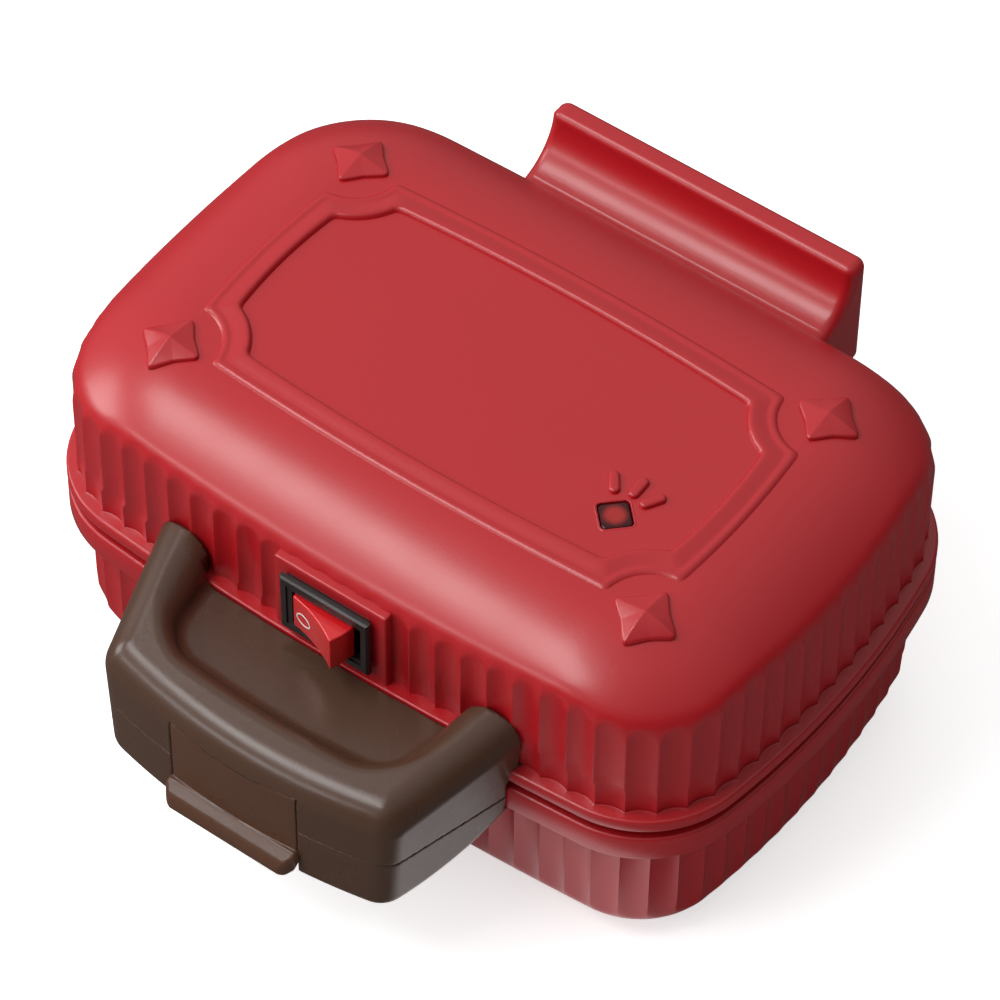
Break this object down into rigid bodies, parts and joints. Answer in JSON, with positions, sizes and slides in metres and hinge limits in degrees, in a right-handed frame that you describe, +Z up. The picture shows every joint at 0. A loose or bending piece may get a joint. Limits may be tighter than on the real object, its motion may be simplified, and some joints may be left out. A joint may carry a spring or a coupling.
{
  "type": "sandwich maker",
  "caption": "compact electric sandwich maker with a fluted hinged lid, a bowed front handle, a lift-up latch, a rocker switch and a pilot lamp",
  "frame": {"origin": "on the table, under the middle of the closed object's box", "axes": "+X to the right seen from the front, +Y to the back, +Z up"},
  "size_m": [0.164, 0.161, 0.0828],
  "materials": {
    "red_enamel": "satin",
    "black_plastic": "matte",
    "nonstick": "satin",
    "heater_steel": "satin",
    "bright_sheet": "satin",
    "black_gloss": "gloss",
    "red_rocker": "gloss",
    "lens": "gloss",
    "lamp_glass": "gloss",
    "brown_plastic": "satin",
    "brown_latch": "satin",
    "rubber": "matte"
  },
  "bodies": {
    "base": {"base_shell": "red_enamel", "lower_frame": "black_plastic", "lower_plate": "nonstick", "lower_heater": "heater_steel", "lower_reflector": "bright_sheet", "thermostat": "bright_sheet", "thermal_fuse": "bright_sheet", "handle_lower": "brown_plastic", "cord_gland": "rubber", "foot_front_left": "rubber", "foot_front_right": "rubber", "foot_rear_left": "rubber", "foot_rear_right": "rubber", "screw_front_left": "heater_steel", "screw_front_right": "heater_steel", "screw_rear_left": "heater_steel", "screw_rear_right": "heater_steel"},
    "lid": {"lid_shell": "red_enamel", "upper_frame": "black_plastic", "upper_plate": "nonstick", "upper_heater": "heater_steel", "upper_reflector": "bright_sheet", "switch_body": "black_gloss", "lamp_lens": "lens", "neon_lamp": "lamp_glass", "handle_upper": "brown_plastic", "latch_pin": "heater_steel", "hinge_rod": "heater_steel"},
    "latch": {"latch": "brown_latch"},
    "rocker": {"rocker": "red_rocker"}
  },
  "joints": [
    {"name": "lid_hinge", "type": "hinge", "parent": "base", "child": "lid", "pos_m": [0, 0.072, 0.0445], "axis": [-1, 0, 0], "range_deg": [0, 100]},
    {"name": "latch_hinge", "type": "hinge", "parent": "lid", "child": "latch", "pos_m": [0, -0.072, 0.0435], "axis": [-1, 0, 0], "range_deg": [0, 30]},
    {"name": "rocker_hinge", "type": "hinge", "parent": "lid", "child": "rocker", "pos_m": [0, -0.0434, 0.0607], "axis": [0, 0, 1], "range_deg": [0, 25]}
  ]
}
